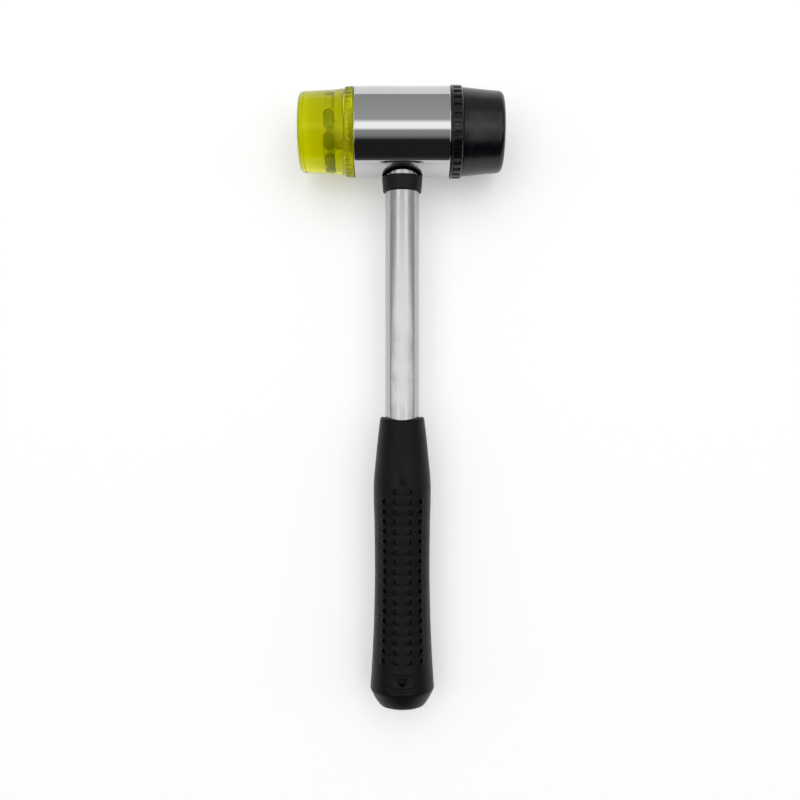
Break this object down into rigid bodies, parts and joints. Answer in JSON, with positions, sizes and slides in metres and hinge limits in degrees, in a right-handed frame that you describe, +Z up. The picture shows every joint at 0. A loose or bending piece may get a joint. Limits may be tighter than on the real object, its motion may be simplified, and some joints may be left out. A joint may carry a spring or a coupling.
{
  "type": "dead blow mallet",
  "caption": "Steel-headed dead blow mallet with a hard plastic face, a rubber face, a tubular steel handle and a dimpled rubber grip.",
  "frame": {"origin": "middle of the mallet's footprint, on the bench it lies on", "axes": "+Z up from the bench; +Y along the handle towards the head; +X along the head from the hard plastic face to the rubber face"},
  "size_m": [0.0908, 0.2776, 0.041],
  "materials": {
    "barrel_chrome": "mirror-polished chrome plate",
    "tube_chrome": "bright chrome plate with faint lengthwise lines",
    "plain_steel": "turned",
    "insert_metal": "as cast, with a cut thread",
    "shot_steel": "rolled",
    "yellow_plastic": "glossy, see-through yellow-green",
    "black_rubber": "moulded satin",
    "collar_rubber": "smooth",
    "grip_rubber": "fine matt grain",
    "washer_fibre": "pressed fibre"
  },
  "bodies": {
    "head_and_handle": {"head_barrel": "barrel_chrome", "hard_side_end_plug": "plain_steel", "rubber_side_end_plug": "plain_steel", "handle_socket": "plain_steel", "handle_cross_pin": "plain_steel", "handle_tube": "tube_chrome", "handle_collar": "collar_rubber", "grip": "grip_rubber"},
    "shot": {"shot_ball_01": "shot_steel", "shot_ball_02": "shot_steel", "shot_ball_03": "shot_steel", "shot_ball_04": "shot_steel", "shot_ball_05": "shot_steel", "shot_ball_06": "shot_steel", "shot_ball_07": "shot_steel", "shot_ball_08": "shot_steel", "shot_ball_09": "shot_steel", "shot_ball_10": "shot_steel", "shot_ball_11": "shot_steel", "shot_ball_12": "shot_steel", "shot_ball_13": "shot_steel", "shot_ball_14": "shot_steel", "shot_ball_15": "shot_steel", "shot_ball_16": "shot_steel", "shot_ball_17": "shot_steel", "shot_ball_18": "shot_steel"},
    "hard_washer": {"hard_tip_washer": "washer_fibre"},
    "hard_face": {"hard_tip": "yellow_plastic", "hard_tip_insert": "insert_metal"},
    "rubber_washer": {"rubber_tip_washer": "washer_fibre"},
    "rubber_face": {"rubber_tip": "black_rubber", "rubber_tip_insert": "insert_metal"}
  },
  "joints": [
    {"name": "shot_travel", "type": "slide", "parent": "head_and_handle", "child": "shot", "axis": [1, 0, 0], "range_m": [-0.0019, 0.0019]},
    {"name": "hard_face_travel", "type": "slide", "parent": "head_and_handle", "child": "hard_washer", "axis": [-1, 0, 0], "range_m": [0, 0.0075]},
    {"name": "hard_face_turn", "type": "hinge", "parent": "hard_washer", "child": "hard_face", "pos_m": [-0.02065, 0.11833, 0.0205], "axis": [-1, 0, 0], "range_deg": [0, 1080]},
    {"name": "rubber_face_travel", "type": "slide", "parent": "head_and_handle", "child": "rubber_washer", "axis": [1, 0, 0], "range_m": [0, 0.0075]},
    {"name": "rubber_face_turn", "type": "hinge", "parent": "rubber_washer", "child": "rubber_face", "pos_m": [0.02155, 0.11833, 0.0205], "axis": [1, 0, 0], "range_deg": [0, 1080]}
  ],
  "couplings": [
    {"joint": "hard_face_turn", "follows": "hard_face_travel", "rad_per_m": 2513.3},
    {"joint": "rubber_face_turn", "follows": "rubber_face_travel", "rad_per_m": 2513.3}
  ]
}
